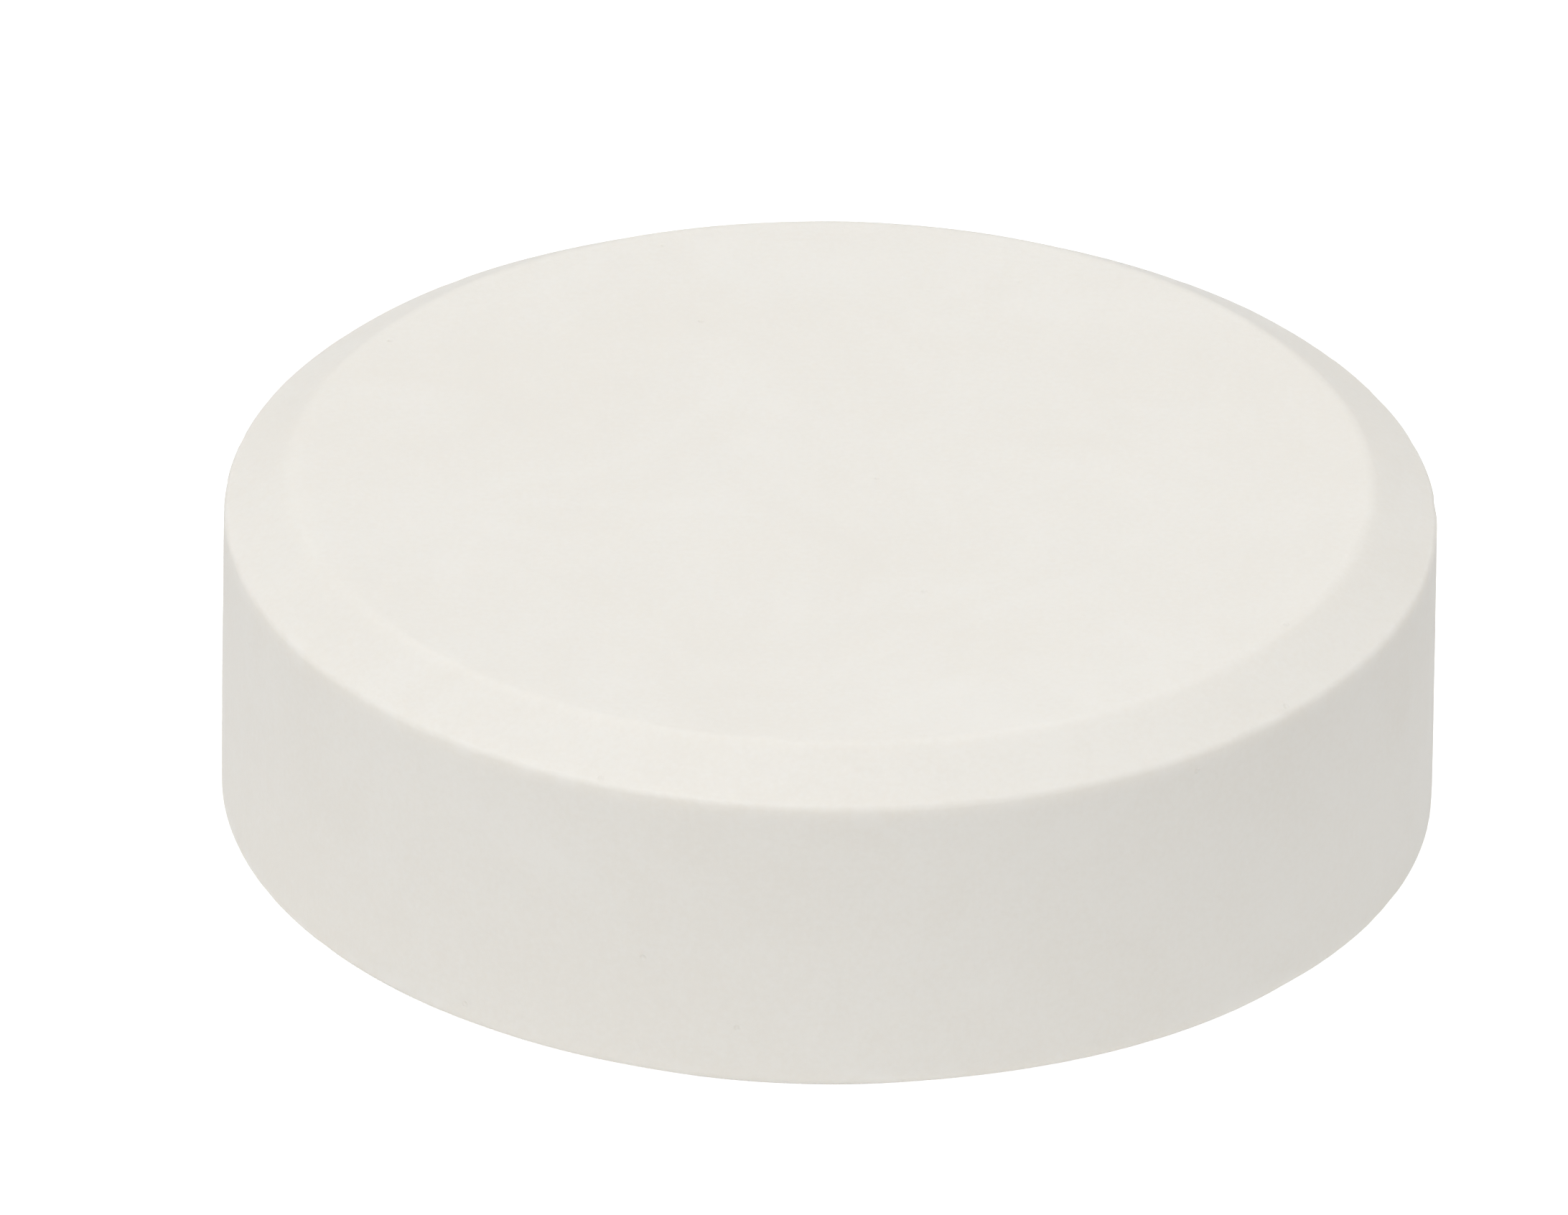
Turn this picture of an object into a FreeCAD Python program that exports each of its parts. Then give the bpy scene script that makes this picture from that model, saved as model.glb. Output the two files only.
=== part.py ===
import FreeCAD, Part

import os

import Sketcher

# Shaving soap puck: one tablet of hard milled soap that drops into a shaving mug or bowl.
#
# The puck is a short cylinder pressed in a box die. Both faces are the same: a flat round land,
# and a shallow conical bevel that runs from the land down to the straight wall. Pressed soap has
# no sharp corner, so the crease between land and bevel is rounded, and the rim between bevel and
# wall has a smaller, crisper round. The puck is the same either way up.
#
# Frame: millimetres, +Z up, origin at the centre of the underside.

PARTS_FOLDER = "parts"
SHEET_NAME = "sizes"

# The driving dimensions, in millimetres.
SIZES = {
    "puck_diameter": 70.0,  # across the straight wall
    "puck_height": 22.4,  # from the underside to the top land
    "bevel_width": 3.8,  # how far each bevel reaches in from the wall
    "bevel_drop": 2.3,  # how far each bevel falls from its land
    "rim_round": 0.5,  # radius where a bevel meets the wall
    "land_round": 1.5,  # radius where a bevel meets its land
}

ON_EDGE = 1e-6  # how near an edge must lie to a height and radius to be the one looked for


def make_sheet(doc):
    """The spreadsheet that holds the driving dimensions, one alias each."""
    sheet = doc.addObject("Spreadsheet::Sheet", SHEET_NAME)
    for row, (alias, value) in enumerate(SIZES.items(), start=1):
        sheet.set(f"A{row}", alias)
        sheet.set(f"B{row}", str(value))
        sheet.setAlias(f"B{row}", alias)
    doc.recompute()
    return sheet


def origin_plane(body, role):
    """One of a body's own origin planes, by its role."""
    return next(f for f in body.Origin.OriginFeatures if f.Role == role)


def chain_lines(sketch, points):
    """Closed chain of lines through the points, with each end joined to the next start."""
    count = len(points)
    for i, start in enumerate(points):
        end = points[(i + 1) % count]
        line = Part.LineSegment(FreeCAD.Vector(*start, 0), FreeCAD.Vector(*end, 0))
        sketch.addGeometry(line, False)
    for i in range(count):
        sketch.addConstraint(Sketcher.Constraint("Coincident", i, 2, (i + 1) % count, 1))


def drive(sketch, kind, name, first, second, expression):
    """Named distance between two sketch points, starting as drawn and bound to the sheet."""
    across = sketch.getPoint(*second) - sketch.getPoint(*first)
    drawn = across.x if kind == "DistanceX" else across.y
    sketch.addConstraint(Sketcher.Constraint(kind, *first, *second, drawn))
    index = sketch.ConstraintCount - 1
    sketch.renameConstraint(index, name)
    sketch.setExpression(f"Constraints.{name}", expression)


def draw_half_section(body):
    """Half of the puck's section, on the XZ plane, with the puck's axis as its inner side."""
    sketch = body.newObject("Sketcher::SketchObject", "half_section")
    sketch.AttachmentSupport = [(origin_plane(body, "XZ_Plane"), "")]
    sketch.MapMode = "FlatFace"

    rim = SIZES["puck_diameter"] / 2
    land = rim - SIZES["bevel_width"]
    top = SIZES["puck_height"]
    drop = SIZES["bevel_drop"]
    chain_lines(
        sketch,
        [(0, 0), (land, 0), (rim, drop), (rim, top - drop), (land, top), (0, top)],
    )
    underside, low_bevel, wall, high_bevel, top_land, axis = range(6)

    origin = (-1, 1)
    sketch.addConstraint(Sketcher.Constraint("Coincident", underside, 1, *origin))
    sketch.addConstraint(Sketcher.Constraint("Horizontal", underside))
    sketch.addConstraint(Sketcher.Constraint("Vertical", wall))
    sketch.addConstraint(Sketcher.Constraint("Horizontal", top_land))
    sketch.addConstraint(Sketcher.Constraint("Vertical", axis))

    low_land_end, low_rim_end = (low_bevel, 1), (low_bevel, 2)
    high_rim_end, high_land_end = (high_bevel, 1), (high_bevel, 2)
    radius = f"{SHEET_NAME}.puck_diameter / 2"
    width = f"{SHEET_NAME}.bevel_width"
    fall = f"{SHEET_NAME}.bevel_drop"
    drive(sketch, "DistanceX", "wall_radius", origin, low_rim_end, radius)
    drive(sketch, "DistanceX", "low_bevel_width", low_land_end, low_rim_end, width)
    drive(sketch, "DistanceX", "high_bevel_width", high_land_end, high_rim_end, width)
    drive(sketch, "DistanceY", "low_bevel_drop", low_land_end, low_rim_end, fall)
    drive(sketch, "DistanceY", "high_bevel_drop", high_rim_end, high_land_end, fall)
    drive(sketch, "DistanceY", "height", origin, high_land_end, f"{SHEET_NAME}.puck_height")
    return sketch


def ring_edges(shape, radius, heights):
    """Names of the circular edges of this radius at these heights."""
    names = []
    for number, edge in enumerate(shape.Edges, start=1):
        curve = edge.Curve
        if not isinstance(curve, Part.Circle) or abs(curve.Radius - radius) > ON_EDGE:
            continue
        if any(abs(curve.Center.z - z) < ON_EDGE for z in heights):
            names.append(f"Edge{number}")
    if len(names) != len(heights):
        raise RuntimeError(f"found {names}, not one edge at each of {heights}")
    return names


def round_edges(body, name, base, edges, alias):
    """Fillet on the named edges of base, with its radius bound to the sheet."""
    fillet = body.newObject("PartDesign::Fillet", name)
    fillet.Base = (base, edges)
    fillet.setExpression("Radius", f"{SHEET_NAME}.{alias}")
    body.Document.recompute()
    return fillet


def make_soap_puck(doc, sheet):
    """The whole puck: the half section turned about its axis, then its corners rounded."""
    body = doc.addObject("PartDesign::Body", "soap_puck")
    body.Label = "soap_puck"
    sketch = draw_half_section(body)
    doc.recompute()
    if not sketch.FullyConstrained:
        raise RuntimeError(f"{sketch.Name} can still move")

    tablet = body.newObject("PartDesign::Revolution", "tablet")
    tablet.Profile = sketch
    tablet.ReferenceAxis = (sketch, ["V_Axis"])
    tablet.Angle = 360
    sketch.Visibility = False
    doc.recompute()

    wall_radius = sheet.puck_diameter / 2
    land_radius = wall_radius - sheet.bevel_width
    rims = [sheet.bevel_drop, sheet.puck_height - sheet.bevel_drop]
    lands = [0.0, sheet.puck_height]
    rim_edges = ring_edges(tablet.Shape, wall_radius, rims)
    rim = round_edges(body, "rim_rounds", tablet, rim_edges, "rim_round")
    land_edges = ring_edges(rim.Shape, land_radius, lands)
    body.Tip = round_edges(body, "land_rounds", rim, land_edges, "land_round")
    body.Placement = FreeCAD.Placement()
    doc.recompute()
    return body


def check_document(doc):
    """Stops if any object failed to compute."""
    for item in doc.Objects:
        if "Invalid" in item.State or "Error" in item.State:
            raise RuntimeError(f"{item.Name} failed: {item.State}")


def check_shape(body):
    """Stops unless the sub-part is one valid closed solid."""
    shape = body.Shape
    if shape.isNull() or not shape.isValid() or len(shape.Solids) != 1:
        raise RuntimeError(f"{body.Label} is not one valid solid")


def export(bodies):
    """Writes each sub-part's solid to its own STEP file."""
    os.makedirs(PARTS_FOLDER, exist_ok=True)
    for body in bodies:
        body.Shape.exportStep(os.path.join(PARTS_FOLDER, f"{body.Label}.step"))
        box = body.Shape.optimalBoundingBox(False)
        print(
            f"{body.Label}: {box.XLength:.2f} x {box.YLength:.2f} x {box.ZLength:.2f} mm,"
            f" {body.Shape.Volume / 1000:.2f} cm3, {len(body.Shape.Faces)} faces"
        )


def main():
    doc = FreeCAD.newDocument("shaving_soap_puck")
    sheet = make_sheet(doc)
    bodies = [make_soap_puck(doc, sheet)]
    check_document(doc)
    for body in bodies:
        check_shape(body)
    export(bodies)


main()
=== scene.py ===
import math

import bmesh
import bpy
import numpy as np
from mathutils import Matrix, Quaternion, Vector, noise


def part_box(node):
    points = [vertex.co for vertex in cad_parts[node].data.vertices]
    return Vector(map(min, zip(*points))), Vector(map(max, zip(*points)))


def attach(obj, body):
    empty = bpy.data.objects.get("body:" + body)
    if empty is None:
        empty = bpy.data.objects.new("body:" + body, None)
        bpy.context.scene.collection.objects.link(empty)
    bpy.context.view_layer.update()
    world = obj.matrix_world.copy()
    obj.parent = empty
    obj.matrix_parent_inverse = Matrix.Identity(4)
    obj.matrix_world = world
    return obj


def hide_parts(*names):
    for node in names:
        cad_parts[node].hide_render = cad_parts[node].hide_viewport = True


# A shaving soap puck, dressed over its CAD solid. Metres, +Z up, origin at the centre of the
# underside. The camera stands on the -Y side, with +X to the right of the picture.

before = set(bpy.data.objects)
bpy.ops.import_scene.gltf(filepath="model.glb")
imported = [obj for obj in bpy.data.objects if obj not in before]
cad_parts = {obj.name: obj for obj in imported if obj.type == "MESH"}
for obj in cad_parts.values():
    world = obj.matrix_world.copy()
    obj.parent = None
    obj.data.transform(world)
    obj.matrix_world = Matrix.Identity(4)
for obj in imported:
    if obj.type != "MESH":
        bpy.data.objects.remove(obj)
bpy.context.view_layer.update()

MM = 0.001

# ---------------------------------------------------------------------------------------------
# Sizes read from the CAD solid
# ---------------------------------------------------------------------------------------------

NODE = "soap_puck"
TOUCH = 0.001 * MM  # vertices this near a plane or radius lie on it

low_corner, high_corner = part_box(NODE)
underside = low_corner.z
top = high_corner.z
puck_radius = (high_corner.x - low_corner.x) / 2
mid_height = (top + underside) / 2

cad_points = np.array([v.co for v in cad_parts[NODE].data.vertices])
cad_radii = np.hypot(cad_points[:, 0], cad_points[:, 1])
land_radius = cad_radii[cad_points[:, 2] > top - TOUCH].max()  # where the flat land ends
wall_top = cad_points[cad_radii > puck_radius - TOUCH, 2].max()  # where the straight wall ends
wall_bottom = underside + (top - wall_top)

# The CAD solid's two rounds.
LAND_ROUND = 1.5 * MM  # radius between land and bevel
RIM_ROUND = 0.5 * MM  # radius between bevel and wall


# ---------------------------------------------------------------------------------------------
# The puck's section
# ---------------------------------------------------------------------------------------------

# How many steps of mesh each stretch of the section gets.
LAND_ROUND_STEPS = 12
BEVEL_STEPS = 10
RIM_ROUND_STEPS = 8
WALL_STEPS = 32


def bevel_tilt():
    """Angle from +Z of the bevel's outward normal: the bevel is the line that touches both
    rounds, so both round centres lie the same way from it, each by its own radius."""
    across = land_radius - (puck_radius - RIM_ROUND)
    up = (top - LAND_ROUND) - wall_top
    reach = math.hypot(across, up)
    return math.atan2(across, up) + math.acos((RIM_ROUND - LAND_ROUND) / reach)


def arc(centre_r, centre_z, radius, first, last, steps):
    """Points of a round, as (radius, height), between two angles of its normal from +Z."""
    angles = np.linspace(first, last, steps + 1)
    return [(centre_r + radius * math.sin(a), centre_z + radius * math.cos(a)) for a in angles]


def straight(start, end, steps):
    """Points strictly between two section points."""
    shares = np.arange(1, steps) / steps
    return [
        (start[0] + (end[0] - start[0]) * s, start[1] + (end[1] - start[1]) * s) for s in shares
    ]


def upper_section():
    """Section from the land's edge out over the bevel and round to the top of the wall."""
    tilt = bevel_tilt()
    upright = math.pi / 2
    land_arc = arc(land_radius, top - LAND_ROUND, LAND_ROUND, 0, tilt, LAND_ROUND_STEPS)
    rim_arc = arc(puck_radius - RIM_ROUND, wall_top, RIM_ROUND, tilt, upright, RIM_ROUND_STEPS)
    return land_arc + straight(land_arc[-1], rim_arc[0], BEVEL_STEPS) + rim_arc


def whole_section():
    """Section from the upper land's edge, down the wall, to the lower land's edge."""
    upper = upper_section()
    lower = [(r, 2 * mid_height - z) for r, z in reversed(upper)]
    return upper + straight(upper[-1], lower[0], WALL_STEPS) + lower


# ---------------------------------------------------------------------------------------------
# The puck's mesh
# ---------------------------------------------------------------------------------------------

CAP_RINGS = 62  # rings of quads in each land
AROUND = 8 * CAP_RINGS  # points round the wall, to meet a cap's outer ring


def ring_step(i, j, ring):
    """How many steps grid point (i, j) lies round its square ring, from the middle of +X."""
    if i == ring and j > -ring:
        return j % (8 * ring)
    if j == ring:
        return 2 * ring - i
    if i == -ring:
        return 4 * ring - j
    return 6 * ring + i


def cap_points(height, outer):
    """A square grid of points pulled into a disc, so the land has no pole of thin triangles."""
    points = {}
    for i in range(-CAP_RINGS, CAP_RINGS + 1):
        for j in range(-CAP_RINGS, CAP_RINGS + 1):
            ring = max(abs(i), abs(j))
            if ring == 0:
                points[i, j] = Vector((0, 0, height))
                continue
            angle = ring_step(i, j, ring) / (8 * ring) * 2 * math.pi
            reach = outer * ring / CAP_RINGS
            points[i, j] = Vector((reach * math.cos(angle), reach * math.sin(angle), height))
    return points


def fill_cap(mesh, border, height, facing_up):
    """Fills a land inside its border ring."""
    grid = {}
    for (i, j), point in cap_points(height, land_radius).items():
        ring = max(abs(i), abs(j))
        if ring == CAP_RINGS:
            grid[i, j] = border[ring_step(i, j, ring)]
        else:
            grid[i, j] = mesh.verts.new(point)
    for i in range(-CAP_RINGS, CAP_RINGS):
        for j in range(-CAP_RINGS, CAP_RINGS):
            corners = [grid[i, j], grid[i + 1, j], grid[i + 1, j + 1], grid[i, j + 1]]
            mesh.faces.new(corners if facing_up else corners[::-1])


def build_puck():
    """One closed quad mesh: a cap, the turned section, and the other cap."""
    mesh = bmesh.new()
    rings = []
    for r, z in whole_section():
        ring = []
        for k in range(AROUND):
            a = 2 * math.pi * k / AROUND
            ring.append(mesh.verts.new((r * math.cos(a), r * math.sin(a), z)))
        rings.append(ring)
    for upper, lower in zip(rings, rings[1:]):
        for k in range(AROUND):
            n = (k + 1) % AROUND
            mesh.faces.new((upper[k], lower[k], lower[n], upper[n]))
    fill_cap(mesh, rings[0], top, facing_up=True)
    fill_cap(mesh, rings[-1], underside, facing_up=False)
    return mesh


# Unevenness of pressed soap: (height, size of one wave) of each layer, both in metres.
SWELL = (0.06 * MM, 14 * MM)
RIPPLE = (0.016 * MM, 4 * MM)
RIM_WEAR = (0.12 * MM, 3.5 * MM)
RIPPLE_SHIFT = Vector((7, 3, 1))  # in ripple waves, so it doesn't follow the swell
RIM_WEAR_REACH = 1.1 * MM  # how far from the rim the wear fades out
RIM_WEAR_FADE = 1.0  # how fast its finer layers fade
RIM_WEAR_STEP = 2.0  # how much finer each layer is than the last
RIM_WEAR_LAYERS = 3


def unevenness(point):
    """How far the skin lies out from the ideal shape at this point."""
    height = SWELL[0] * noise.noise(point / SWELL[1])
    height += RIPPLE[0] * noise.noise(point / RIPPLE[1] + RIPPLE_SHIFT)
    nearest_rim = wall_top if point.z > mid_height else wall_bottom
    away = math.hypot(puck_radius - math.hypot(point.x, point.y), point.z - nearest_rim)
    if away < RIM_WEAR_REACH:
        fade = 1 - away / RIM_WEAR_REACH
        place = point / RIM_WEAR[1]
        worn = noise.fractal(place, RIM_WEAR_FADE, RIM_WEAR_STEP, RIM_WEAR_LAYERS)
        height -= RIM_WEAR[0] * max(0.0, worn) * fade * fade
    return height


def make_uneven(mesh):
    """Moves each point a little along its normal, as handled soap does, most along the rims.
    Nothing goes below the plane that the puck stands on."""
    mesh.normal_update()
    moves = [v.normal * unevenness(v.co) for v in mesh.verts]
    for v, move in zip(mesh.verts, moves):
        v.co += move
        v.co.z = max(v.co.z, underside)


def make_puck():
    """The visible puck, standing for its CAD solid."""
    mesh = build_puck()
    make_uneven(mesh)
    data = bpy.data.meshes.new("milled_soap_puck")
    mesh.to_mesh(data)
    mesh.free()
    data.polygons.foreach_set("use_smooth", [True] * len(data.polygons))
    data.materials.append(soap_material())
    puck = bpy.data.objects.new("milled_soap_puck", data)
    bpy.context.scene.collection.objects.link(puck)
    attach(puck, "root")
    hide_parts(NODE)


# ---------------------------------------------------------------------------------------------
# Building node trees
# ---------------------------------------------------------------------------------------------

# Sockets of a colour mix node, which shares its names between several data types.
MIX_SHARE, MIX_FIRST, MIX_SECOND = 0, 6, 7
MIX_COLOUR = 2

NOISE_ROUGHNESS = 0.55  # strength of each finer layer of noise against the last


class Nodes:
    """Short calls for building a node tree."""

    def __init__(self, tree):
        self.tree = tree
        tree.nodes.clear()

    def add(self, kind, settings=None, **inputs):
        """A node of this kind, with its settings, and its inputs as values or sockets."""
        node = self.tree.nodes.new(kind)
        for name, value in (settings or {}).items():
            setattr(node, name, value)
        for name, value in inputs.items():
            self.feed(node, name.replace("_", " "), value)
        return node

    def feed(self, node, key, value):
        """Sets or links one input, found by name or by number."""
        if isinstance(value, bpy.types.NodeSocket):
            self.tree.links.new(value, node.inputs[key])
        else:
            node.inputs[key].default_value = value

    def math(self, operation, first, second=0.0):
        """Result of one arithmetic node."""
        node = self.add("ShaderNodeMath", {"operation": operation})
        self.feed(node, 0, first)
        self.feed(node, 1, second)
        return node.outputs[0]

    def total(self, first, *others):
        """Sum of several values."""
        for other in others:
            first = self.math("ADD", first, other)
        return first

    def vector_math(self, operation, first, second=(0, 0, 0)):
        """Result of one vector node: a number for a length, or else a vector."""
        node = self.add("ShaderNodeVectorMath", {"operation": operation})
        self.feed(node, 0, first)
        self.feed(node, 1, second)
        return node.outputs["Value" if operation == "LENGTH" else "Vector"]

    def noise(self, where, size, detail=2.0):
        """Noise whose features are about this size, in metres, with this many finer layers.
        Its middle is 0.5."""
        node = self.add("ShaderNodeTexNoise", Vector=where, Scale=1 / size, Detail=detail)
        self.feed(node, "Roughness", NOISE_ROUGHNESS)
        return node.outputs["Fac"]

    def between(self, value, low, high, out_low, out_high, smooth=True):
        """Value carried from one range to another, clamped."""
        kind = "SMOOTHSTEP" if smooth else "LINEAR"
        node = self.add("ShaderNodeMapRange", {"interpolation_type": kind})
        for name, number in zip(
            ("Value", "From Min", "From Max", "To Min", "To Max"),
            (value, low, high, out_low, out_high),
        ):
            self.feed(node, name, number)
        return node.outputs["Result"]

    def mix(self, share, first, second):
        """Colour that lies this share of the way from the first to the second."""
        node = self.add("ShaderNodeMix", {"data_type": "RGBA"})
        self.feed(node, MIX_SHARE, share)
        self.feed(node, MIX_FIRST, first)
        self.feed(node, MIX_SECOND, second)
        return node.outputs[MIX_COLOUR]

    def bump(self, height, depth, base=None):
        """Bump from a 0 to 1 height that stands for this depth, in metres."""
        node = self.add("ShaderNodeBump", Height=height, Distance=depth, Strength=1.0)
        if base is not None:
            self.feed(node, "Normal", base)
        return node.outputs["Normal"]


# ---------------------------------------------------------------------------------------------
# The soap
# ---------------------------------------------------------------------------------------------

SOAP_WARM = (0.860, 0.829, 0.767, 1)
SOAP_IVORY = (0.882, 0.860, 0.808, 1)
SOAP_PALE = (0.893, 0.875, 0.832, 1)  # the dried, chalky rims

# Patterns of the tone: the size of each, and its share in the whole.
CLOUD = (22 * MM, 0.40)
SWIRL = (5 * MM, 0.27)
GRAIN = (0.35 * MM, 0.33)
TONE_RANGE = (0.34, 0.66)  # the mixed noise runs from warm to ivory over this range
SWIRL_BEND = 18 * MM  # size of the waves that bend the swirls
SWIRL_PULL = 30 * MM  # how far the bending noise would pull them over its full range

RIM_BAND = 1.2 * MM  # height of the wall's chalky band at each rim
CHALK_PATCH = 2 * MM
CHALK_RANGE = (0.45, 0.7)  # the noise runs from no chalk to the most over this range
CHALK_MOST = 0.7  # share of the pale colour where there is most chalk

SATIN = 0.40  # roughness of the lands and bevels, as the die leaves them
WALL_DRIER = 0.08  # how much rougher the wall is
GRAIN_DRIER = 0.04  # how much rougher the light grains are than the dark ones
HANDLED_PATCH = 9 * MM
HANDLED_RANGE = (0.35, 0.65)  # the noise runs from polished to dulled over this range
HANDLED_CHANGE = 0.05  # how far handling moves the roughness, either way

# Fine relief: the size of each pattern, and its depth.
ORANGE_PEEL = (1.8 * MM, 0.022 * MM)
SKIN_GRAIN = (0.25 * MM, 0.009 * MM)
DRAG_MARKS = (0.5 * MM, 0.016 * MM)
DRAG_SQUEEZE = 0.05  # height is scaled by this, which stretches the drag marks upright
PIN_HOLES = (2.6 * MM, 0.05 * MM)
PIN_HOLE_EDGES = (0.03, 0.085)  # foot and brim of a hole's side, in pattern sizes
PIN_HOLE_SHARE = (0.18, 0.20)  # cells that draw less than this have a hole

SOAP_IOR = 1.46
LIGHT_DEPTH = 1.2 * MM  # how far light soaks in
LIGHT_REACH = (1.0, 0.85, 0.65)  # share of that depth for red, green and blue


def wall_and_rim_masks(n, where):
    """Two values that are 1 on the straight wall, and 1 along the rims of the wall."""
    parts = n.add("ShaderNodeSeparateXYZ", Vector=where).outputs
    flat = n.add("ShaderNodeCombineXYZ", X=parts["X"], Y=parts["Y"]).outputs[0]
    radius = n.vector_math("LENGTH", flat)
    wall = n.between(radius, puck_radius - RIM_ROUND, puck_radius - RIM_ROUND / 4, 0, 1)
    from_middle = n.math("ABSOLUTE", n.math("SUBTRACT", parts["Z"], mid_height))
    from_rim = n.math("ABSOLUTE", n.math("SUBTRACT", from_middle, wall_top - mid_height))
    rim = n.math("MULTIPLY", wall, n.between(from_rim, 0, RIM_BAND, 1, 0))
    return wall, rim


def bent(n, where):
    """Position pulled about by slow waves, so that a noise read there runs in swirls."""
    wave = n.add("ShaderNodeTexNoise", Vector=where, Scale=1 / SWIRL_BEND, Detail=1.0)
    centred = n.vector_math("SUBTRACT", wave.outputs["Color"], (0.5, 0.5, 0.5))
    pull = n.vector_math("MULTIPLY", centred, (SWIRL_PULL, SWIRL_PULL, SWIRL_PULL))
    return n.vector_math("ADD", where, pull)


def soap_colour(n, where, rim, grain):
    """Cloudy tone, faint swirls of the milled mass, fine grain and chalky rims."""
    cloud = n.noise(where, CLOUD[0], detail=3)
    swirl = n.noise(bent(n, where), SWIRL[0], detail=4)
    tone = n.total(
        n.math("MULTIPLY", cloud, CLOUD[1]),
        n.math("MULTIPLY", swirl, SWIRL[1]),
        n.math("MULTIPLY", grain, GRAIN[1]),
    )
    body = n.mix(n.between(tone, *TONE_RANGE, 0, 1), SOAP_WARM, SOAP_IVORY)
    patches = n.between(n.noise(where, CHALK_PATCH), *CHALK_RANGE, 0, CHALK_MOST)
    return n.mix(n.math("MULTIPLY", rim, patches), body, SOAP_PALE)


def soap_roughness(n, where, wall, grain):
    """Satin lands and bevels from the die, a drier wall, and patches from handling."""
    handled = n.noise(where, HANDLED_PATCH, detail=3)
    return n.total(
        SATIN,
        n.math("MULTIPLY", wall, WALL_DRIER),
        n.between(handled, *HANDLED_RANGE, -HANDLED_CHANGE, HANDLED_CHANGE),
        n.math("MULTIPLY", grain, GRAIN_DRIER),
    )


def pin_holes(n, where):
    """0 in a few scattered tiny holes, and 1 elsewhere."""
    cells = n.add("ShaderNodeTexVoronoi", {"feature": "F1"}, Vector=where, Scale=1 / PIN_HOLES[0])
    side = n.between(cells.outputs["Distance"], *PIN_HOLE_EDGES, 0, 1)
    drawn = n.add("ShaderNodeSeparateColor", Color=cells.outputs["Color"]).outputs[0]
    return n.math("MAXIMUM", side, n.between(drawn, *PIN_HOLE_SHARE, 0, 1))


def soap_relief(n, where, wall):
    """Soft orange peel, a fine grain, sparse pin-holes, and upright drag marks on the wall."""
    normal = n.bump(n.noise(where, ORANGE_PEEL[0]), ORANGE_PEEL[1])
    normal = n.bump(n.noise(where, SKIN_GRAIN[0]), SKIN_GRAIN[1], normal)
    normal = n.bump(pin_holes(n, where), PIN_HOLES[1], normal)
    squeeze = n.add("ShaderNodeMapping", Vector=where, Scale=(1, 1, DRAG_SQUEEZE)).outputs[0]
    drag = n.math("MULTIPLY", wall, n.noise(squeeze, DRAG_MARKS[0], detail=3))
    return n.bump(drag, DRAG_MARKS[1], normal)


def soap_material():
    """Hard milled soap: warm ivory, a little translucent, satin, with a fine pressed skin."""
    material = bpy.data.materials.new("milled_soap")
    material.use_nodes = True
    n = Nodes(material.node_tree)
    where = n.add("ShaderNodeTexCoord").outputs["Object"]
    wall, rim = wall_and_rim_masks(n, where)
    grain = n.noise(where, GRAIN[0])
    shader = n.add(
        "ShaderNodeBsdfPrincipled",
        {"subsurface_method": "BURLEY"},
        Base_Color=soap_colour(n, where, rim, grain),
        Roughness=soap_roughness(n, where, wall, grain),
        IOR=SOAP_IOR,
        Subsurface_Weight=1.0,
        Subsurface_Radius=LIGHT_REACH,
        Subsurface_Scale=LIGHT_DEPTH,
        Normal=soap_relief(n, where, wall),
    )
    n.add("ShaderNodeOutputMaterial", Surface=shader.outputs[0])
    return material


# ---------------------------------------------------------------------------------------------
# Floor, light and camera
# ---------------------------------------------------------------------------------------------

SKY = 0.685  # how bright the room is, all round
LAMPS = (  # name, azimuth from the camera's side towards +X, elevation, apparent width, power
    ("key", -40, 60.5, 40, 0.813),
    ("back", 180, 60, 40, 0.242),
)
FLOOR_ALBEDO = 0.55
FLOOR_GLOW = 0.32  # light the table gives off beside the puck
POOL_END = 5.7 * puck_radius  # how far from the puck's axis that glow has faded out
FLOOR_LIFT = 0.55  # extra brightness that only the camera sees
FLOOR_HALF = 400 * puck_radius
WHITE = (1, 1, 1, 1)


def floor_material():
    """A pale table, softly lit from within near the puck. The camera sees it brighter than it
    is, so it reads as plain white."""
    material = bpy.data.materials.new("pale_table")
    material.use_nodes = True
    n = Nodes(material.node_tree)
    where = n.add("ShaderNodeTexCoord").outputs["Object"]
    away = n.vector_math("LENGTH", where)
    glow = n.between(away, puck_radius, POOL_END, FLOOR_GLOW, 0, smooth=False)
    seen = n.add("ShaderNodeLightPath").outputs["Is Camera Ray"]
    shader = n.add(
        "ShaderNodeBsdfPrincipled",
        Base_Color=(FLOOR_ALBEDO, FLOOR_ALBEDO, FLOOR_ALBEDO, 1),
        Roughness=0.9,
        Specular_IOR_Level=0.0,
        Emission_Color=WHITE,
        Emission_Strength=n.math("ADD", glow, n.math("MULTIPLY", seen, FLOOR_LIFT)),
    )
    n.add("ShaderNodeOutputMaterial", Surface=shader.outputs[0])
    return material


def make_floor():
    """One wide square at the height of the puck's underside."""
    mesh = bmesh.new()
    signs = [(-1, -1), (1, -1), (1, 1), (-1, 1)]
    corners = [mesh.verts.new((x * FLOOR_HALF, y * FLOOR_HALF, underside)) for x, y in signs]
    mesh.faces.new(corners)
    data = bpy.data.meshes.new("floor")
    mesh.to_mesh(data)
    mesh.free()
    data.materials.append(floor_material())
    floor = bpy.data.objects.new("floor", data)
    bpy.context.scene.collection.objects.link(floor)


def towards(azimuth, elevation):
    """Unit vector from the puck towards a place round it; azimuth 0 is the camera's side."""
    a, e = math.radians(azimuth), math.radians(elevation)
    return Vector((math.sin(a) * math.cos(e), -math.cos(a) * math.cos(e), math.sin(e)))


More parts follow.
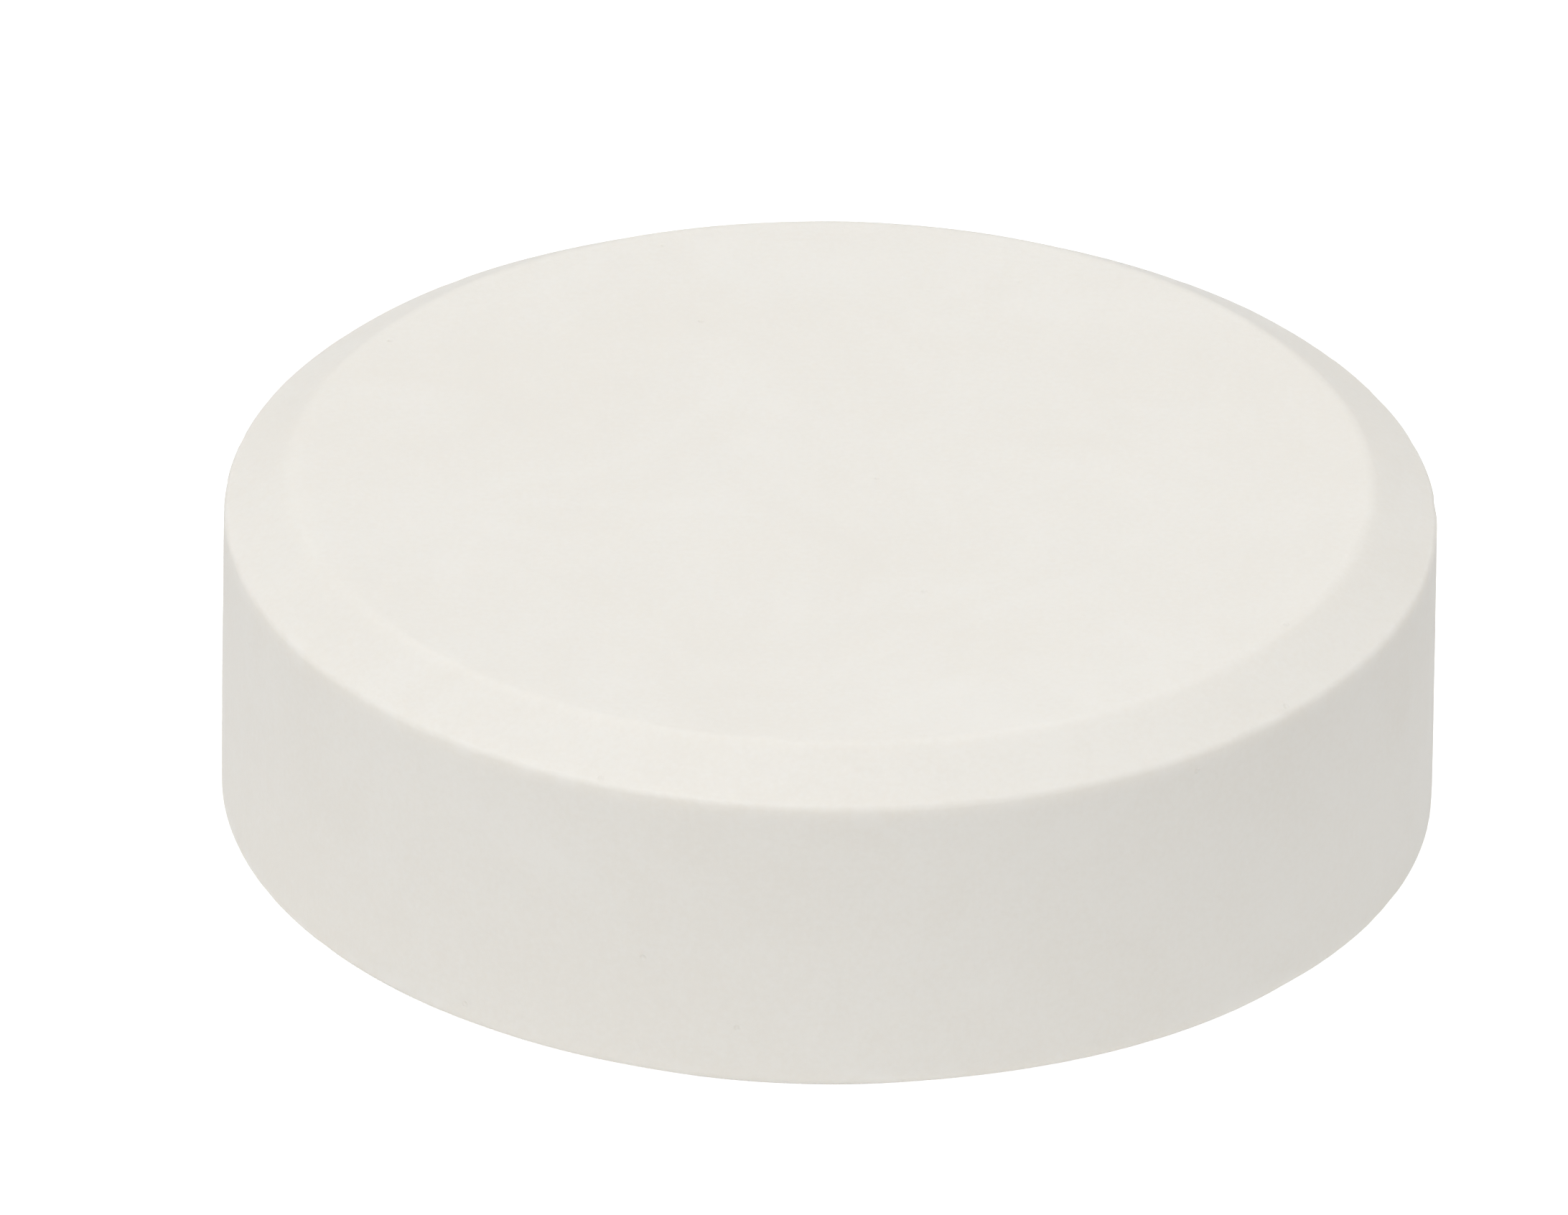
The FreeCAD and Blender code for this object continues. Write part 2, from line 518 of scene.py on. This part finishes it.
def make_lamps():
    """Broad, distant lamps, so the light is soft and even over the whole puck."""
    for name, azimuth, elevation, width, power in LAMPS:
        lamp = bpy.data.lights.new(name, "SUN")
        lamp.energy = power
        lamp.angle = math.radians(width)
        holder = bpy.data.objects.new(name, lamp)
        holder.rotation_mode = "QUATERNION"
        holder.rotation_quaternion = towards(azimuth, elevation).to_track_quat("Z", "Y")
        bpy.context.scene.collection.objects.link(holder)


def make_room():
    """An even white room. The camera sees it as bright as the far floor, so no horizon shows."""
    world = bpy.data.worlds.new("room")
    world.use_nodes = True
    bpy.context.scene.world = world
    lamps = sum(power * math.sin(math.radians(el)) / math.pi for _, _, el, _, power in LAMPS)
    far_floor = FLOOR_ALBEDO * (SKY + lamps) + FLOOR_LIFT
    n = Nodes(world.node_tree)
    seen = n.add("ShaderNodeLightPath").outputs["Is Camera Ray"]
    strength = n.between(seen, 0, 1, SKY, far_floor, smooth=False)
    room = n.add("ShaderNodeBackground", Color=WHITE, Strength=strength)
    n.add("ShaderNodeOutputWorld", Surface=room.outputs[0])


CAMERA_ELEVATION = 28.96  # degrees above the horizon
CAMERA_ROLL = 0.85  # degrees; the puck leans clockwise in the picture
CAMERA_DISTANCE = 80 * puck_radius
PICTURE_WIDTH = 2.5867 * puck_radius  # what the picture's width spans at the puck
AIM_RIGHT = -0.0285 * PICTURE_WIDTH  # the camera aims left of the puck and above it,
AIM_UP = 0.0266 * PICTURE_WIDTH  # so the puck sits right of the middle and below it
SENSOR = 36.0
CLIP_MARGIN = 100  # nothing nearer or farther than the camera's distance by this factor shows


def make_camera():
    """A long lens at the photograph's angle."""
    camera = bpy.data.cameras.new("camera")
    camera.sensor_width = SENSOR
    camera.lens = SENSOR * CAMERA_DISTANCE / PICTURE_WIDTH
    camera.clip_start = CAMERA_DISTANCE / CLIP_MARGIN
    camera.clip_end = CAMERA_DISTANCE * CLIP_MARGIN
    back = towards(0, CAMERA_ELEVATION)
    level = back.to_track_quat("Z", "Y")
    turn = level @ Quaternion((0, 0, 1), math.radians(CAMERA_ROLL))
    holder = bpy.data.objects.new("camera", camera)
    holder.rotation_mode = "QUATERNION"
    holder.rotation_quaternion = turn
    aim = Vector((0, 0, mid_height)) + turn @ Vector((AIM_RIGHT, AIM_UP, 0))
    holder.location = aim + back * CAMERA_DISTANCE
    bpy.context.scene.collection.objects.link(holder)
    bpy.context.scene.camera = holder


# ---------------------------------------------------------------------------------------------
# Put together
# ---------------------------------------------------------------------------------------------

make_puck()
make_floor()
make_lamps()
make_room()
make_camera()
bpy.context.scene.view_settings.view_transform = "Standard"
